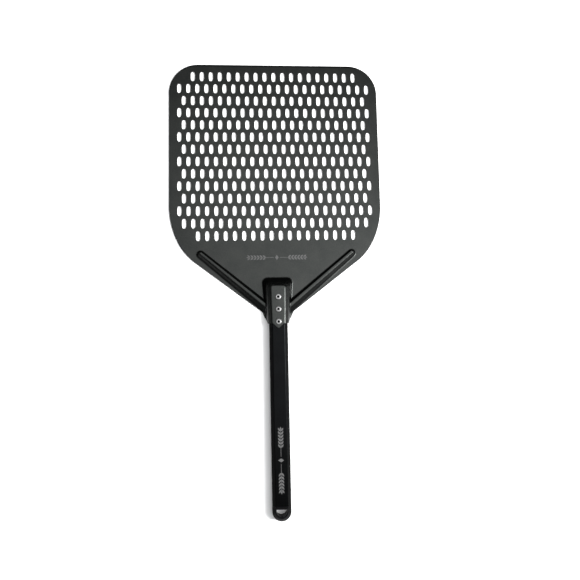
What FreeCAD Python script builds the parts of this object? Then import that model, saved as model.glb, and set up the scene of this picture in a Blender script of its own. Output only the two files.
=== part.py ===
"""Perforated pizza peel: a pressed aluminium head, riveted over the front of a flat-sided tube handle.

The peel lies flat. +X is across the head, +Y runs from the handle's end to the head's front edge
and +Z is up. The origin is under the middle of the whole length, on the face that the peel rests
on. Units are millimetres.
"""
import FreeCAD, Part
import math
import os
import Sketcher

V = FreeCAD.Vector

# Alias: (value, what it is). Distances "from front" run back from the head's front edge.
DIMS = {
    "overall_length": (700, "front edge of the head to the end of the handle"),
    "head_width": (330, "across the head's parallel sides"),
    "sheet_thickness": (2, "head sheet"),
    "front_corner_radius": (47, "front corners of the head"),
    "front_bevel_drop": (1.2, "bevel along the front edge, measured down the edge"),
    "front_bevel_run": (3, "the same bevel, measured back along the top"),
    "side_end": (228.5, "from front: end of the parallel sides"),
    "shoulder_radius": (129, "first, wide part of each round shoulder"),
    "shoulder_turn": (26, "degrees that the wide part turns through"),
    "shoulder_tight_radius": (90, "second, tighter part of the shoulder"),
    "shoulder_tight_turn": (27.5, "degrees that the tighter part turns through"),
    "neck_half_width": (24.4, "where the long edge meets the neck"),
    "neck_start": (394, "from front: where the long edge meets the neck"),
    "neck_radius": (9, "inside corner between long edge and neck"),
    "slot_width": (6.5, "one slot"),
    "slot_length": (15.5, "one slot, end to end"),
    "slot_pitch": (14.18, "slot to slot along a row"),
    "row_pitch": (19.7, "row to row"),
    "first_row": (19.8, "from front: middle of the first row"),
    "slots_first_row": (19, "slots in the first row"),
    "slots_wide_row": (22, "slots in rows 2, 4, 6 and so on"),
    "slots_narrow_row": (21, "slots in rows 3, 5, 7 and so on"),
    "slots_last_row": (18, "slots in the last row"),
    "row_pairs": (6, "number of wide rows, and of narrow rows"),
    "tube_width": (28, "handle tube, outside"),
    "tube_height": (20, "handle tube, outside"),
    "tube_bevel": (5, "bevel on the tube's four long corners"),
    "tube_wall": (1.5, "handle tube"),
    "tube_edge_radius": (1.2, "rounding of the tube's long edges"),
    "tube_start": (359.5, "from front: front end of the tube"),
    "tube_end": (678, "from front: rear end of the tube, where the cap starts"),
    "hump_front": (341, "from front: foot of the pressed hump"),
    "hump_half_width": (23.8, "hump at its foot, near its front"),
    "hump_corner_radius": (7, "hump's front corners at the foot"),
    "shoulder_front": (350.4, "from front: the hump's front at the tube's shoulder height"),
    "shoulder_half_width": (17.8, "hump's half width at that height, near its front"),
    "pad_front": (355.5, "from front: start of the hump's flat top"),
    "pad_half_width": (10.8, "flat top at its front"),
    "pad_corner_radius": (3.5, "front corners of the flat top"),
    "socket_end": (412, "from front: rear end of the hump's sides"),
    "tongue_tip": (419.5, "from front: tip of the pointed tongue"),
    "tongue_tip_radius": (2, "rounding of that tip"),
    "tongue_overlap": (3, "how far the tongue runs into the hump's flat top"),
    "tail_trim_start": (398, "from front: where the sides' lower edge leaves the sheet"),
    "tail_trim_rise": (9, "height of that lower edge at the rear end"),
    "rib_tip_x": (117, "centre of the rib's round outer end, from the middle"),
    "rib_tip_back": (305, "from front: centre of the rib's round outer end"),
    "rib_slope": (40, "degrees between the rib and the front edge"),
    "rib_length": (137, "from the centre of the round end to inside the hump"),
    "rib_tip_radius": (6.6, "rib's foot at its outer end"),
    "rib_root_half_width": (9.4, "rib's foot at the hump"),
    "rib_crest_half_width": (2, "rib's top"),
    "rib_height": (6, "rib above the sheet"),
    "rivet_shank": (4.8, "blind rivet diameter"),
    "rivet_hole": (4.9, "hole for it"),
    "rivet_head": (9.5, "flange diameter"),
    "rivet_head_height": (1.5, "flange height"),
    "rivet_rim_height": (0.4, "flange's straight rim"),
    "rivet_crown": (4.4, "flat ring at the flange's top, diameter"),
    "rivet_swell": (0.35, "how far the dome bulges past a straight cone, outwards and upwards"),
    "rivet_bore": (3, "bore through the rivet"),
    "rivet_bulb": (6.8, "set blind side, diameter"),
    "rivet_bulb_root": (5.8, "set blind side against the tube's wall, diameter"),
    "rivet_bulb_height": (3.4, "set blind side, height"),
    "rivet_sleeve": (7.5, "below the tube's wall, to the sleeve's end"),
    "first_rivet": (372.7, "from front: middle of the first rivet"),
    "rivet_pitch": (18.5, "rivet to rivet"),
    "mandrel_stem": (2.9, "broken mandrel that stays in the rivet, diameter"),
    "mandrel_stem_length": (6.5, "from its ball end up to the break"),
    "mandrel_break": (0.6, "height of the cone at the break"),
    "mandrel_head": (4.6, "its ball end, diameter"),
    "plastic_gap": (0.1, "between a plastic spigot and the tube's inside"),
    "plastic_wall": (2, "walls of the plastic spigots"),
    "cap_spigot": (26, "cap's spigot inside the tube"),
    "cap_edge_radius": (0.8, "rounding of the cap's edges"),
    "plug_flange": (1.5, "front plug's flange"),
    "plug_inset": (0.3, "flange's outline inside the tube's"),
    "plug_spigot": (8, "front plug's spigot"),
    "hang_hole_width": (17, "D-shaped hanging hole, across"),
    "hang_hole_start": (681.8, "from front: the hole's straight side"),
    "hang_hole_end": (692, "from front: the hole's round side"),
    "hang_web": (3, "thickness of the cap's top at the hole; the hole is longer below it"),
    "hang_relief_width": (16.4, "across the longer part"),
}
D = {alias: value for alias, (value, note) in DIMS.items()}

HALF_LENGTH = D["overall_length"] / 2
TOP = D["tube_height"] + D["sheet_thickness"]
SHEET_SPREAD = D["sheet_thickness"] * math.tan(math.radians(22.5))
SHOULDER_Z = D["tube_height"] - D["tube_bevel"]
MARGIN = 1  # how far a cutting outline runs past the material
OVERLAP = 0.2  # how far a rib's foot starts inside the sheet


def back(distance):
    """Y of a place this far behind the front edge."""
    return HALF_LENGTH - distance


# --- document, spreadsheet and small helpers -----------------------------------------------------

doc = FreeCAD.newDocument("pizza_peel")
sheet = doc.addObject("Spreadsheet::Sheet", "dims")
for row, (alias, (value, note)) in enumerate(DIMS.items(), start=1):
    sheet.set(f"A{row}", alias)
    sheet.set(f"B{row}", str(value))
    sheet.set(f"C{row}", note)
    sheet.setAlias(f"B{row}", alias)
doc.recompute()


def new_body(label):
    body = doc.addObject("PartDesign::Body", label)
    body.Label = label
    return body


def origin_feature(body, role):
    return next(feature for feature in body.Origin.OriginFeatures if feature.Role == role)


def new_sketch(body, name, paths=(), plane="XY_Plane", offset=None):
    """Closed outlines on one of the body's own planes, moved off it by an expression if given."""
    sketch = body.newObject("Sketcher::SketchObject", name)
    sketch.AttachmentSupport = [(origin_feature(body, plane), "")]
    sketch.MapMode = "FlatFace"
    if offset:
        sketch.setExpression("AttachmentOffset.Base.z", offset)
    sketch.addGeometry([edge for path in paths for edge in outline_edges(path)])
    return sketch


def outline_edges(path):
    """path is a list of points, in order; a pair (middle, end) is an arc to end through middle."""
    edges = []
    here = path[0]
    for step in path[1:] + [path[0]]:
        if isinstance(step, tuple):
            middle, end = step
            edges.append(Part.Arc(here, middle, end))
        else:
            end = step
            if not here.isEqual(end, 1e-6):
                edges.append(Part.LineSegment(here, end))
        here = end
    return edges


def add_circle(body, name, centre, diameter_expression, plane="XY_Plane", offset=None):
    """A circle whose diameter is bound to the spreadsheet."""
    sketch = body.newObject("Sketcher::SketchObject", name)
    sketch.AttachmentSupport = [(origin_feature(body, plane), "")]
    sketch.MapMode = "FlatFace"
    if offset:
        sketch.setExpression("AttachmentOffset.Base.z", offset)
    circle = sketch.addGeometry(Part.Circle(centre, V(0, 0, 1), 1))
    size = sketch.addConstraint(Sketcher.Constraint("Diameter", circle, 2))
    sketch.renameConstraint(size, "across")
    sketch.setExpression("Constraints.across", diameter_expression)
    return sketch


def mirrored(half):
    """The whole outline from its +X half. The half's first and last points are off the middle."""
    ends = [step[1] if isinstance(step, tuple) else step for step in half]
    whole = list(half) + [flipped(ends[-1])]
    for i in range(len(half) - 1, 0, -1):
        end = flipped(ends[i - 1])
        whole.append((flipped(half[i][0]), end) if isinstance(half[i], tuple) else end)
    return whole


def flipped(point):
    return V(-point.x, point.y, point.z)


def rounded(corner, towards_a, towards_b, radius):
    """The arc that rounds a corner: its start and its (middle, end)."""
    to_a = (towards_a - corner).normalize()
    to_b = (towards_b - corner).normalize()
    half_angle = to_a.getAngle(to_b) / 2
    bisector = (to_a + to_b).normalize()
    reach = radius / math.tan(half_angle)
    middle = corner + bisector * (radius / math.sin(half_angle) - radius)
    return [corner + to_a * reach, (middle, corner + to_b * reach)]


def octagon(inset=0.0):
    """Half of the tube's section in the XZ plane, shrunk by inset all round."""
    side = D["tube_width"] / 2 - inset
    low = inset
    high = D["tube_height"] - inset
    bevel = D["tube_bevel"] - inset * (2 - math.sqrt(2))
    return mirrored([
        V(side - bevel, low, 0), V(side, low + bevel, 0),
        V(side, high - bevel, 0), V(side - bevel, high, 0),
    ])


def pad(body, name, sketch, length, backwards=False):
    feature = body.newObject("PartDesign::Pad", name)
    feature.Profile = sketch
    feature.Reversed = backwards
    feature.setExpression("Length", length)
    return feature


def pocket(body, name, sketch, length=None, backwards=False):
    """Cuts to a length, or right through both ways when none is given."""
    feature = body.newObject("PartDesign::Pocket", name)
    feature.Profile = sketch
    feature.Reversed = backwards
    if length:
        feature.setExpression("Length", length)
    else:
        feature.Type = "ThroughAll"
        feature.Midplane = True
    return feature


def loft(body, name, kind, sketches):
    feature = body.newObject(f"PartDesign::{kind}", name)
    feature.Profile = sketches[0]
    feature.Sections = sketches[1:]
    feature.Ruled = True
    return feature


def mirror_across_middle(body, original):
    feature = body.newObject("PartDesign::Mirrored", f"{original.Name}_mirrored")
    feature.Originals = [original]
    feature.MirrorPlane = (origin_feature(body, "YZ_Plane"), [""])
    body.Tip = feature
    return feature


def line_pattern(body, name, role, count, length):
    feature = body.newObject("PartDesign::LinearPattern", name)
    feature.Direction = (origin_feature(body, role), [""])
    feature.setExpression("Occurrences", count)
    feature.setExpression("Length", length)
    return feature


def dress(body, kind, name, base, wanted, size):
    """A fillet or chamfer on the edges of base for which wanted(edge) is true."""
    doc.recompute()
    chosen = [f"Edge{i}" for i, edge in enumerate(base.Shape.Edges, start=1) if wanted(edge)]
    feature = body.newObject(f"PartDesign::{kind}", name)
    feature.Base = (base, chosen)
    feature.setExpression("Radius" if kind == "Fillet" else "Size", size)
    return feature


# --- head: one pressed and perforated sheet ------------------------------------------------------


def head_outline():
    """Flat blank: round front corners, parallel sides, round shoulders, long edges and neck."""
    half = D["head_width"] / 2
    path = rounded(V(half, back(0), 0), V(0, back(0), 0), V(half, 0, 0), D["front_corner_radius"])
    here = V(half, back(D["side_end"]), 0)
    path.append(here)
    heading = 0.0
    for radius, turn in (
        (D["shoulder_radius"], D["shoulder_turn"]),
        (D["shoulder_tight_radius"], D["shoulder_tight_turn"]),
    ):
        centre = here - V(math.cos(heading), -math.sin(heading), 0) * radius
        arc = []
        for share in (0.5, 1.0):
            angle = heading + math.radians(turn) * share
            arc.append(centre + V(math.cos(angle), -math.sin(angle), 0) * radius)
        path.append(tuple(arc))
        here = arc[1]
        heading = angle
    neck = V(D["neck_half_width"], back(D["neck_start"]), 0)
    tail = V(tail_half_width(), back(D["socket_end"]), 0)
    return mirrored(path + rounded(neck, here, tail, D["neck_radius"]) + [tail])


def tail_half_width(inset=0.0):
    """Half width of the sheet where it wraps the tube's sides."""
    return D["tube_width"] / 2 + D["sheet_thickness"] - inset


def top_step():
    """How far the flat top's long edges are inside the wrapped sides."""
    return D["tube_bevel"] + D["sheet_thickness"] - SHEET_SPREAD


def hump_level(front, half_width, radius, rear_half_width):
    """One level of the hump: wide and rounded at the front, narrowing to the tube at the rear."""
    corner = V(half_width, back(front), 0)
    rear = V(rear_half_width, back(D["socket_end"]), 0)
    return mirrored(rounded(corner, V(0, back(front), 0), rear, radius) + [rear])


def add_hump(body):
    """The pressed hump: foot, tube shoulder height and flat top."""
    levels = (
        ("hump_foot", "0", "hump_front", "hump_half_width", "hump_corner_radius", 0),
        ("hump_shoulder", "dims.tube_height - dims.tube_bevel + dims.sheet_thickness * tan(22.5 deg)",
         "shoulder_front", "shoulder_half_width", "hump_corner_radius", 0),
        ("hump_top", "dims.tube_height + dims.sheet_thickness",
         "pad_front", "pad_half_width", "pad_corner_radius", top_step()),
    )
    sketches = []
    for name, height, front, half_width, radius, step_in in levels:
        path = hump_level(D[front], D[half_width], D[radius], tail_half_width(step_in))
        sketches.append(new_sketch(body, name, [path], offset=height))
    return loft(body, "hump", "AdditiveLoft", sketches)


def cut_hump_hollow(body):
    """The hump's underside: the same levels, one sheet thickness further in."""
    wall = D["sheet_thickness"]
    foot_slope = math.atan2(SHOULDER_Z, D["hump_half_width"] - D["shoulder_half_width"])
    side = wall / math.sin(foot_slope)
    front = wall / math.sin(math.atan2(TOP, D["pad_front"] - D["hump_front"]))
    sink = -MARGIN / math.tan(foot_slope)
    levels = (
        ("hollow_foot", str(-MARGIN), D["hump_front"] + front + sink,
         D["hump_half_width"] - side - sink, D["hump_corner_radius"] - wall, D["tube_width"] / 2),
        ("hollow_shoulder", "dims.tube_height - dims.tube_bevel", D["shoulder_front"] + front,
         D["shoulder_half_width"] - side, D["hump_corner_radius"] - wall, D["tube_width"] / 2),
        ("hollow_top", "dims.tube_height", D["pad_front"] + front / 2,
         D["pad_half_width"] - SHEET_SPREAD, D["pad_corner_radius"] - wall,
         D["tube_width"] / 2 - D["tube_bevel"]),
    )
    sketches = []
    for name, height, start, half_width, radius, rear_half_width in levels:
        path = hump_level(start, half_width, radius, rear_half_width)
        sketches.append(new_sketch(body, name, [path], offset=height))
    return loft(body, "hump_hollow", "SubtractiveLoft", sketches)


def rib_level(tip_radius, root_half_width):
    """One level of the right-hand rib: a tapered bar, round at its outer end."""
    slope = math.radians(D["rib_slope"])
    along = V(-math.cos(slope), -math.sin(slope), 0)
    across = V(along.y, -along.x, 0)
    tip = V(D["rib_tip_x"], back(D["rib_tip_back"]), 0)
    root = tip + along * D["rib_length"]
    return [
        root + across * root_half_width,
        tip + across * tip_radius,
        (tip - along * tip_radius, tip - across * tip_radius),
        root - across * root_half_width,
    ]


def add_rib(body):
    crest = D["rib_crest_half_width"]
    foot = rib_level(D["rib_tip_radius"], D["rib_root_half_width"])
    sketches = [
        new_sketch(body, "rib_foot", [foot], offset=f"dims.sheet_thickness - {OVERLAP}"),
        new_sketch(body, "rib_crest", [rib_level(crest, crest)],
                   offset="dims.sheet_thickness + dims.rib_height"),
    ]
    return loft(body, "rib", "AdditiveLoft", sketches)


def cut_rib_hollow(body):
    """The rib's underside, one sheet thickness below its top."""
    wall = D["sheet_thickness"]
    sketches = []
    for name, z, height in (
        ("rib_hollow_foot", -OVERLAP, str(-OVERLAP)),
        ("rib_hollow_crest", D["rib_height"], "dims.rib_height"),
    ):
        widths = []
        for foot in (D["rib_tip_radius"], D["rib_root_half_width"]):
            slope = math.atan2(D["rib_height"], foot - D["rib_crest_half_width"])
            widths.append(foot - (z - wall) / math.tan(slope) - wall / math.sin(slope))
        sketches.append(new_sketch(body, name, [rib_level(*widths)], offset=height))
    return loft(body, "rib_hollow", "SubtractiveLoft", sketches)


def add_tongue(body):
    """The pointed end of the flat top, lying on the tube."""
    shoulder = V(tail_half_width(top_step()), back(D["socket_end"]), 0)
    start = shoulder + V(0, D["tongue_overlap"], 0)
    tip = V(0, back(D["tongue_tip"]), 0)
    tip_start, _ = rounded(tip, shoulder, flipped(shoulder), D["tongue_tip_radius"])
    path = mirrored([start, shoulder, tip_start])
    sketch = new_sketch(body, "tongue_outline", [path], offset="dims.tube_height")
    return pad(body, "tongue", sketch, "dims.sheet_thickness")


def trim_tail(body):
    """Lower edge of the wrapped sides: rises from the sheet to the rear end."""
    start = back(D["tail_trim_start"])
    end = back(D["socket_end"]) - MARGIN
    below = -MARGIN
    path = [
        V(start, below, 0), V(start, D["sheet_thickness"] / 2, 0),
        V(end, D["tail_trim_rise"], 0), V(end, below, 0),
    ]
    return pocket(body, "tail_trim", new_sketch(body, "tail_side", [path], plane="YZ_Plane"))


def cut_rivet_holes(body, offset=None, length=None):
    centre = V(0, back(D["first_rivet"]) - 2 * D["rivet_pitch"], 0)
    sketch = add_circle(body, "rivet_hole_outline", centre, "dims.rivet_hole", offset=offset)
    hole = pocket(body, "rivet_hole", sketch, length)
    row = line_pattern(body, "rivet_holes", "Y_Axis", "3", "2 * dims.rivet_pitch")
    row.Originals = [hole]
    body.Tip = row
    return row


def slot_path(middle):
    radius = D["slot_width"] / 2
    straight = V(0, D["slot_length"] / 2 - radius, 0)
    side = V(radius, 0, 0)
    crown = V(0, D["slot_length"] / 2, 0)
    return [
        middle - side - straight, middle - side + straight,
        (middle + crown, middle + side + straight), middle + side - straight,
        (middle - crown, middle - side - straight),
    ]


def slot_tools():
    """All the slots as bars: every other row is shifted by half a pitch."""
    last_row = 2 * D["row_pairs"] + 1
    outlines = []
    for row in range(last_row + 1):
        if row in (0, last_row):
            count = D["slots_first_row"] if row == 0 else D["slots_last_row"]
        else:
            count = D["slots_wide_row"] if row % 2 else D["slots_narrow_row"]
        y = back(D["first_row"] + row * D["row_pitch"])
        for place in range(count):
            x = (place - (count - 1) / 2) * D["slot_pitch"]
            outlines += outline_edges(slot_path(V(x, y, 0)))
    sketch = doc.addObject("Sketcher::SketchObject", "slot_outlines")
    sketch.addGeometry(outlines)
    bars = doc.addObject("Part::Extrusion", "slot_bars")
    bars.Base = sketch
    bars.DirMode = "Normal"
    bars.Solid = True
    bars.setExpression("LengthFwd", "2 * dims.sheet_thickness")
    bars.setExpression("LengthRev", "dims.sheet_thickness")
    return bars


def bevel_front_edge(body):
    """A long low bevel on top of the leading edge, between the round corners."""
    start = back(D["front_bevel_run"])
    end = back(0) + MARGIN
    top = D["sheet_thickness"]
    slope = D["front_bevel_drop"] / D["front_bevel_run"]
    path = [
        V(start, top, 0), V(end, top - slope * (end - start), 0),
        V(end, top + MARGIN, 0), V(start, top + MARGIN, 0),
    ]
    return pocket(body, "front_bevel", new_sketch(body, "front_bevel_side", [path], plane="YZ_Plane"))


def build_head():
    """The pressed sheet is one body; the slots are cut from it in one go."""
    body = new_body("pressed_sheet")
    blank = new_sketch(body, "blank_outline", [head_outline()])
    pad(body, "blank", blank, "dims.sheet_thickness")
    bevel_front_edge(body)
    add_hump(body)
    mirror_across_middle(body, add_rib(body))
    cut_hump_hollow(body)
    mirror_across_middle(body, cut_rib_hollow(body))
    add_tongue(body)
    trim_tail(body)
    cut_rivet_holes(body)
    head = doc.addObject("Part::Cut", "head_plate")
    head.Label = "head_plate"
    head.Base = body
    head.Tool = slot_tools()
    return head


# --- handle: tube, front plug and end cap ----------------------------------------------------------


def behind_front(alias):
    """Expression that moves a sketch on the XZ plane to a distance from the front edge."""
    return f"dims.{alias} - dims.overall_length / 2"


def along_handle(edge):
    """True for a straight edge that runs along Y."""
    return edge.Curve.TypeId == "Part::GeomLine" and abs(edge.tangentAt(edge.FirstParameter).y) > 0.999


def build_tube():
    body = new_body("handle_tube")
    section = new_sketch(body, "outside_section", [octagon()], "XZ_Plane", behind_front("tube_start"))
    bar = pad(body, "bar", section, "dims.tube_end - dims.tube_start")
    dress(body, "Fillet", "soft_edges", bar, along_handle, "dims.tube_edge_radius")
    inside = new_sketch(body, "inside_section", [octagon(D["tube_wall"])], "XZ_Plane",
                        behind_front("tube_start"))
    pocket(body, "bore", inside, "dims.tube_end - dims.tube_start", backwards=True)
    cut_rivet_holes(body, offset="dims.tube_height", length="dims.tube_wall + 1")
    return body


def add_spigot(body, start, length, forwards):
    """A hollow plastic spigot inside the tube, from start, open at its far end."""
    gap = D["tube_wall"] + D["plastic_gap"]
    paths = [octagon(gap), octagon(gap + D["plastic_wall"])]
    section = new_sketch(body, "spigot_section", paths, "XZ_Plane", start)
    return pad(body, "spigot", section, length, backwards=forwards)


def build_plug():
    """Closes the tube's front end, under the hump."""
    body = new_body("front_plug")
    start = behind_front("tube_start")
    flange = new_sketch(body, "flange_section", [octagon(D["plug_inset"])], "XZ_Plane", start)
    pad(body, "flange", flange, "dims.plug_flange", backwards=True)
    add_spigot(body, start, "dims.plug_spigot", forwards=False)
    return body


def d_outline(start, end, width):
    """Straight across at start, and a half circle at the rear end."""
    half = width / 2
    return [
        V(-half, back(start), 0), V(half, back(start), 0), V(half, back(end - half), 0),
        (V(0, back(end), 0), V(-half, back(end - half), 0)),
    ]


def cut_hang_hole(body):
    """The D-shaped hole, made longer below the top web and concentric with the cap's end there."""
    hole = d_outline(D["hang_hole_start"], D["hang_hole_end"], D["hang_hole_width"])
    pocket(body, "hang_hole", new_sketch(body, "hang_hole_outline", [hole]))
    relief_width = D["hang_relief_width"]
    relief_end = D["overall_length"] - D["tube_width"] / 2 + relief_width / 2
    relief = d_outline(D["hang_hole_start"], relief_end, relief_width)
    sketch = new_sketch(body, "hang_relief_outline", [relief])
    return pocket(body, "hang_relief", sketch, "dims.tube_height - dims.hang_web", backwards=True)


def build_cap():
    """Closes the handle's rear end: the tube's section carried round the end, with the hanging hole."""
    body = new_body("end_cap")
    outline = d_outline(D["tube_end"], D["overall_length"], D["tube_width"])
    block = pad(body, "block", new_sketch(body, "cap_outline", [outline]), "dims.tube_height")
    joint = back(D["tube_end"])

    def level_edge(edge):
        box = edge.BoundBox
        return box.ZMax - box.ZMin < 1e-6 and box.YMin < joint - 1e-3

    bevelled = dress(body, "Chamfer", "bevel", block, level_edge, "dims.tube_bevel")
    dress(body, "Fillet", "soft_edges", bevelled, level_edge, "dims.cap_edge_radius")
    cut_hang_hole(body)
    add_spigot(body, behind_front("tube_end"), "dims.cap_spigot", forwards=True)
    return body


# --- fasteners: three open-end blind rivets, each with the stub of its mandrel ------------------------


def stand_on_middle_line(body, rivet_index, height):
    body.setExpression("Placement.Base.y",
                       f"dims.overall_length / 2 - dims.first_rivet - {rivet_index} * dims.rivet_pitch")
    body.setExpression("Placement.Base.z", height)


def revolve(body, name, half_section):
    """Turns a half section, drawn as radius and height, about the body's Z axis."""
    sketch = new_sketch(body, f"{name}_section", [half_section], "XZ_Plane")
    feature = body.newObject("PartDesign::Revolution", name)
    feature.Profile = sketch
    feature.ReferenceAxis = (origin_feature(body, "Z_Axis"), [""])
    feature.Angle = 360
    return feature


def build_rivet(place, index):
    """Height 0 is the flange's underside, on top of the head."""
    body = new_body(f"rivet_{place}")
    bore = D["rivet_bore"] / 2
    shank = D["rivet_shank"] / 2
    flange = D["rivet_head"] / 2
    crown = D["rivet_crown"] / 2
    bulb = D["rivet_bulb"] / 2
    rim = D["rivet_rim_height"]
    top = D["rivet_head_height"]
    inside_tube = -(D["sheet_thickness"] + D["tube_wall"])
    bulb_end = inside_tube - D["rivet_bulb_height"]
    end = inside_tube - D["rivet_sleeve"]
    swell = D["rivet_swell"]
    dome = V((flange + crown) / 2 + swell, (rim + top) / 2 + swell, 0)
    belly = V(bulb, (inside_tube + bulb_end) / 2, 0)
    bulb_root = D["rivet_bulb_root"] / 2
    revolve(body, "sleeve", [
        V(bore, top, 0), V(bore, end, 0), V(shank, end, 0), V(shank, bulb_end, 0),
        (belly, V(bulb_root, inside_tube, 0)), V(shank, inside_tube, 0), V(shank, 0, 0),
        V(flange, 0, 0), V(flange, rim, 0), (dome, V(crown, top, 0)),
    ])
    stand_on_middle_line(body, index, "dims.tube_height + dims.sheet_thickness")
    return body


def build_mandrel(place, index):
    """Height 0 is the sleeve's end; the ball end hangs below it."""
    body = new_body(f"rivet_mandrel_{place}")
    stem = D["mandrel_stem"] / 2
    ball = D["mandrel_head"] / 2
    length = D["mandrel_stem_length"]
    slant = ball * math.sqrt(0.5)
    revolve(body, "stub", [
        V(0, -ball, 0), (V(slant, -slant, 0), V(ball, 0, 0)), V(stem, 0, 0),
        V(stem, length - D["mandrel_break"], 0), V(stem / 2, length, 0), V(0, length, 0),
    ])
    stand_on_middle_line(body, index, "dims.tube_height - dims.tube_wall - dims.rivet_sleeve")
    return body


# --- whole model --------------------------------------------------------------------------------------


def check_and_export(parts):
    doc.recompute()
    for thing in doc.Objects:
        if "Invalid" in thing.State or "Error" in thing.State:
            raise RuntimeError(f"{thing.Label} failed: {thing.State}")
    os.makedirs("parts", exist_ok=True)
    for part in parts:
        shape = part.Shape
        if shape.isNull() or not shape.isValid() or len(shape.Solids) != 1:
            raise RuntimeError(f"{part.Label} is not one valid solid")
        shape.exportStep(f"parts/{part.Label}.step")
        print(f"{part.Label}: {shape.Volume:.0f} mm3")


def main():
    parts = [build_head(), build_tube(), build_plug(), build_cap()]
    for index, place in enumerate(("front", "middle", "rear")):
        parts.append(build_rivet(place, index))
        parts.append(build_mandrel(place, index))
    check_and_export(parts)


main()
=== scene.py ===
"""The looks of the pizza peel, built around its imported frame.

Shapes are worked out in millimetres in the frame's own axes: +X across the head, +Y towards the
head's front edge and +Z up. "Back" distances run from the front edge towards the handle's end.
"""

import math

import bpy
import numpy as np
from mathutils import Matrix, Vector
from mathutils.geometry import delaunay_2d_cdt


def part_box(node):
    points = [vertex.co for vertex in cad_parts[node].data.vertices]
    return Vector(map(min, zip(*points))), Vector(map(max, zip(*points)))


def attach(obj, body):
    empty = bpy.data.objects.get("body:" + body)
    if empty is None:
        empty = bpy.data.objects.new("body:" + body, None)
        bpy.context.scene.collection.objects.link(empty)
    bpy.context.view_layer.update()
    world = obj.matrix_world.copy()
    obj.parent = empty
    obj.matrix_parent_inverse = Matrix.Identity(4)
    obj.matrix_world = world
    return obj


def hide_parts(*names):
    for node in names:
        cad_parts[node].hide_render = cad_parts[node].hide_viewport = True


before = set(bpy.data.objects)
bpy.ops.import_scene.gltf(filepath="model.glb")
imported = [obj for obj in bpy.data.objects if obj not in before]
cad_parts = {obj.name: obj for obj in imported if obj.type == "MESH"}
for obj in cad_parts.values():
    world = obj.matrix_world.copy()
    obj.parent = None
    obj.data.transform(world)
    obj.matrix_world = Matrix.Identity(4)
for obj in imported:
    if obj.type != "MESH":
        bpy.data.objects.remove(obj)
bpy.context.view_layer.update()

METRE = 1000.0


def box_mm(node):
    """Low and high corners of a CAD node's box, in millimetres."""
    low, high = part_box(node)
    return np.array(low) * METRE, np.array(high) * METRE


HEAD_HIGH = box_mm("head_plate")[1]
TUBE_LOW, TUBE_HIGH = box_mm("handle_tube")
CAP_LOW = box_mm("end_cap")[0]
FRONT = HEAD_HIGH[1]
HALF_HEAD = HEAD_HIGH[0]
PAD_TOP = HEAD_HIGH[2]
HALF_TUBE = TUBE_HIGH[0]
TUBE_TOP = TUBE_HIGH[2]

# Head sheet. RIM is the rounding of its edges, which takes at most RIM_SHARE of the thickness. Each
# of the SHOULDERS is a radius and the degrees that it turns through. FRONT_BEVEL_ROWS are how far behind
# the front bevel its rows of points lie. EDGE_SPACING is the longest gap between the outline's points.
SHEET = 2.0
RIM = 0.35
RIM_SHARE = 0.45
RIM_STEPS = 3
FRONT_CORNER = 47.0
FRONT_BEVEL_RUN = 3.0
FRONT_BEVEL_DROP = 0.6
FRONT_BEVEL_ROWS = (0.0, 0.6)
FRONT_BEVEL_POINTS = 220
EDGE_SPACING = 4.0
SIDE_END = 228.5
SHOULDERS = ((129.0, 26.0), (90.0, 27.5))
NECK_HALF_WIDTH = 24.4
NECK_BACK = 394.0
NECK_RADIUS = 9.0

# Slots: ovals whose sides are the flatter, the larger SLOT_SQUARENESS is (2 is an ellipse). At a
# SLOT_CORE of 1 the whole oval would count as open, and a little less leaves out its chords.
SLOT_WIDTH = 6.7
SLOT_LENGTH = 15.4
SLOT_SQUARENESS = 2.8
SLOT_POINTS = 24
SLOT_CORE = 0.95
SLOT_PITCH = 14.18
ROW_PITCH = 19.7
FIRST_ROW = 19.8
ROW_COUNTS = [19] + [22, 21] * 6 + [18]

# Ribs. RIB_TIP is the centre of the round outer end, from the middle line and back. RIB_CREST is the
# half width of the level crest. RIB_CREST_OFFSET and RIB_ROUNDING are shares of the half width and of
# the flank. The higher the power RIB_BLEND, the sharper the crease where a rib meets the hump.
RIB_TIP = (117.0, 305.0)
RIB_SLOPE = 40.0
RIB_LENGTH = 137.0
RIB_TIP_RADIUS = 6.6
RIB_ROOT_HALF_WIDTH = 9.4
RIB_CREST = 1.2
RIB_CREST_OFFSET = 0.3
RIB_HEIGHT = 6.0
RIB_ROUNDING = 0.35
RIB_BLEND = 4

# The ribs' points: steps along them, and offsets that are closest together near the crest
RIB_POINT_STEP = 1.4
RIB_POINT_OFFSETS = np.concatenate((np.arange(0, 4, 0.5), np.arange(4, 13, 0.9)))

# Rivets: radii and roundings. The dome starts RIVET_DOME_START above the flange's underside and bends
# at RIVET_DOME_BEND, in from the flange's edge and down from its top. RIVET_BULB runs up the blind
# side, as radius and depth below the inside of the tube's top.
RIVET_PLACES = ("front", "middle", "rear")
RIVET_HOLE_RADIUS = 2.45
RIVET_BORE = 1.8
RIVET_CROWN = 2.5
RIVET_SHANK = 2.4
RIVET_BULB = ((RIVET_SHANK, 4.0), (3.1, 3.0), (3.4, 1.7), (2.9, 0.0))
RIVET_RIM_ROUNDING = 0.15
RIVET_LIP_ROUNDING = 0.3
RIVET_DOME_START = 0.3
RIVET_DOME_BEND = (0.5, 0.1)
RIVET_SIDES = 48

# Tube and cap. CAP_LEDGE only gives the direction in which the cap's edge meets its flat faces.
# ARC_POINTS is for the half circles at the cap's end and in its hanging hole.
TUBE_BEVEL = 5.0
TUBE_EDGE_RADIUS = 1.7
TUBE_WALL = 1.5
TUBE_END_RIM = 0.4
CAP_EDGE_RADIUS = 0.9
CAP_LEDGE = 2.0
HANG_HOLE_BACK = (681.8, 692.0)
HANG_HOLE_HALF_WIDTH = 8.1
HANG_HOLE_RIM = 0.3
HANG_WEB = 3.0
ARC_POINTS = 28

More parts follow.
